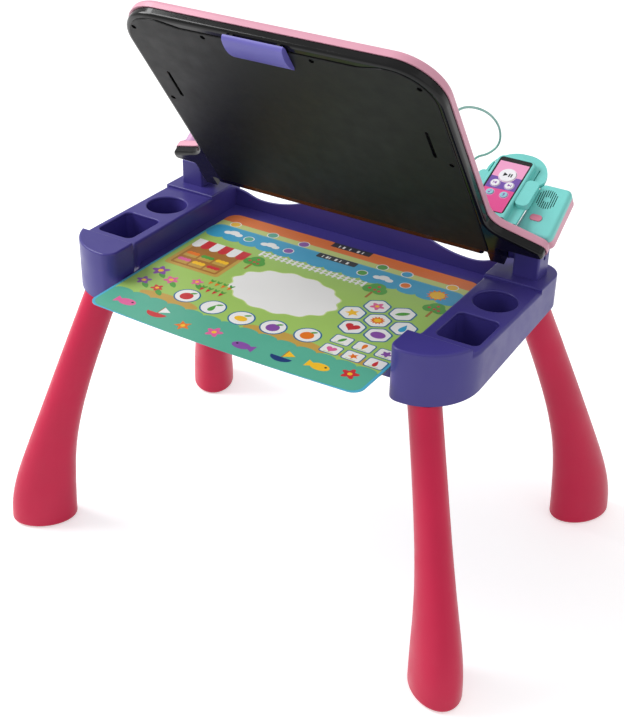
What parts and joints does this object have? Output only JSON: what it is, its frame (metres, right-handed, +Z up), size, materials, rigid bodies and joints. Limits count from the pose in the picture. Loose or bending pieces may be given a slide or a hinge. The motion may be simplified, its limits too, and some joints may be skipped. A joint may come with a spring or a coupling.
{
  "type": "activity table",
  "caption": "Child's activity desk with splayed legs, storage arms, a tray of loose pages and a hinged lid with a chalkboard, toy phone, speaker and corded stylus.",
  "frame": {"origin": "on the floor, under the middle of the four feet", "axes": "+Z up, +X to the right of a child who sits at the desk, +Y away from the child"},
  "size_m": [0.7482, 0.5295, 0.7703],
  "materials": {
    "base_purple": "satin moulded plastic",
    "leg_crimson": "satin moulded plastic",
    "board_black": "fine matt chalkboard skin, satin at the rim",
    "shell_pink": "satin moulded plastic",
    "console_teal": "satin moulded plastic",
    "clip_violet": "satin moulded plastic",
    "button_mauve": "satin moulded plastic",
    "button_pink": "soft matt plastic",
    "button_white": "gloss plastic with a printed sign",
    "cap_yellow": "satin moulded plastic",
    "nib_grey": "satin moulded plastic",
    "bed_white": "smooth wipe-clean panel",
    "window_clear": "frosted plastic",
    "panel_print": "printed bands under gloss, black border",
    "page_print": "printed sheet, silk finish",
    "circuit_green": "solder resist",
    "film_grey": "plain plastic",
    "cell_metal": "plain metal jacket",
    "steel": "zinc plated",
    "cord_teal": "soft coated cord"
  },
  "bodies": {
    "base": {"tray": "base_purple", "left_arm": "base_purple", "right_arm": "base_purple", "left_arm_cover": "base_purple", "right_arm_cover": "base_purple", "leg_front_left": "leg_crimson", "leg_front_right": "leg_crimson", "leg_rear_left": "leg_crimson", "leg_rear_right": "leg_crimson", "left_hinge_post": "base_purple", "right_hinge_post": "base_purple", "post_screws": "steel", "tray_screws": "steel", "cover_screws": "steel"},
    "lid": {"hinge_pins": "steel", "chalkboard_shell": "board_black", "top_shell": "shell_pink", "page_bed": "bed_white", "light_window": "window_clear", "light_board": "circuit_green", "touch_film": "film_grey", "main_board": "circuit_green", "tab_reader": "circuit_green", "battery_box": "film_grey", "batteries": "cell_metal", "battery_contacts": "cell_metal", "battery_door": "shell_pink", "lid_screws": "steel", "phone_front": "console_teal", "phone_back": "console_teal", "phone_face": "panel_print", "phone_board": "circuit_green", "speaker_front": "console_teal", "speaker_back": "shell_pink", "speaker_driver": "cell_metal", "power_base": "button_mauve", "stylus_holder": "console_teal", "cord_anchor": "console_teal", "clip_pin": "steel", "clip_spring": "steel"},
    "clip": {"page_clip": "clip_violet"},
    "play": {"play_button": "button_white"},
    "back": {"back_button": "button_white"},
    "next": {"next_button": "button_white"},
    "music": {"music_button": "button_white"},
    "voice": {"voice_button": "button_white"},
    "talk": {"speaker_button": "button_pink"},
    "power": {"power_button": "button_mauve"},
    "stylus": {"stylus_tip": "nib_grey", "stylus_barrel": "shell_pink", "stylus_cap": "cap_yellow", "stylus_cord": "cord_teal"},
    "front_page": {"page_front": "page_print"},
    "back_page": {"page_back": "page_print"}
  },
  "joints": [
    {"name": "lid_hinge", "type": "hinge", "parent": "base", "child": "lid", "pos_m": [0, 0.097, 0.46], "axis": [1, 0, 0], "range_deg": [0, 52.5]},
    {"name": "clip_hinge", "type": "hinge", "parent": "lid", "child": "clip", "pos_m": [0, -0.14712, 0.75134], "axis": [-1, 0, 0], "range_deg": [0, 25], "stiffness_Nm_per_rad": 0.12, "springref_deg": -22.92},
    {"name": "play_press", "type": "slide", "parent": "lid", "child": "play", "axis": [0, 0.4067, -0.9135], "range_m": [0, 0.0012], "stiffness_N_per_m": 300, "springref_m": -0.001},
    {"name": "back_press", "type": "slide", "parent": "lid", "child": "back", "axis": [0, 0.4067, -0.9135], "range_m": [0, 0.0012], "stiffness_N_per_m": 300, "springref_m": -0.001},
    {"name": "next_press", "type": "slide", "parent": "lid", "child": "next", "axis": [0, 0.4067, -0.9135], "range_m": [0, 0.0012], "stiffness_N_per_m": 300, "springref_m": -0.001},
    {"name": "music_press", "type": "slide", "parent": "lid", "child": "music", "axis": [0, 0.4067, -0.9135], "range_m": [0, 0.0012], "stiffness_N_per_m": 300, "springref_m": -0.001},
    {"name": "voice_press", "type": "slide", "parent": "lid", "child": "voice", "axis": [0, 0.4067, -0.9135], "range_m": [0, 0.0012], "stiffness_N_per_m": 300, "springref_m": -0.001},
    {"name": "talk_press", "type": "slide", "parent": "lid", "child": "talk", "axis": [0, 0.5821, -0.8131], "range_m": [0, 0.0012], "stiffness_N_per_m": 300, "springref_m": -0.001},
    {"name": "power_press", "type": "slide", "parent": "lid", "child": "power", "axis": [0, -0.8131, -0.5821], "range_m": [0, 0.002], "stiffness_N_per_m": 400, "springref_m": -0.001},
    {"name": "stylus_lift", "type": "slide", "parent": "lid", "child": "stylus", "axis": [0, 0.8131, 0.5821], "range_m": [0, 0.045]},
    {"name": "front_page_slide", "type": "slide", "parent": "base", "child": "front_page", "axis": [0, -1, 0], "range_m": [0, 0.25]},
    {"name": "back_page_slide", "type": "slide", "parent": "base", "child": "back_page", "axis": [0, -1, 0], "range_m": [0, 0.25]}
  ]
}
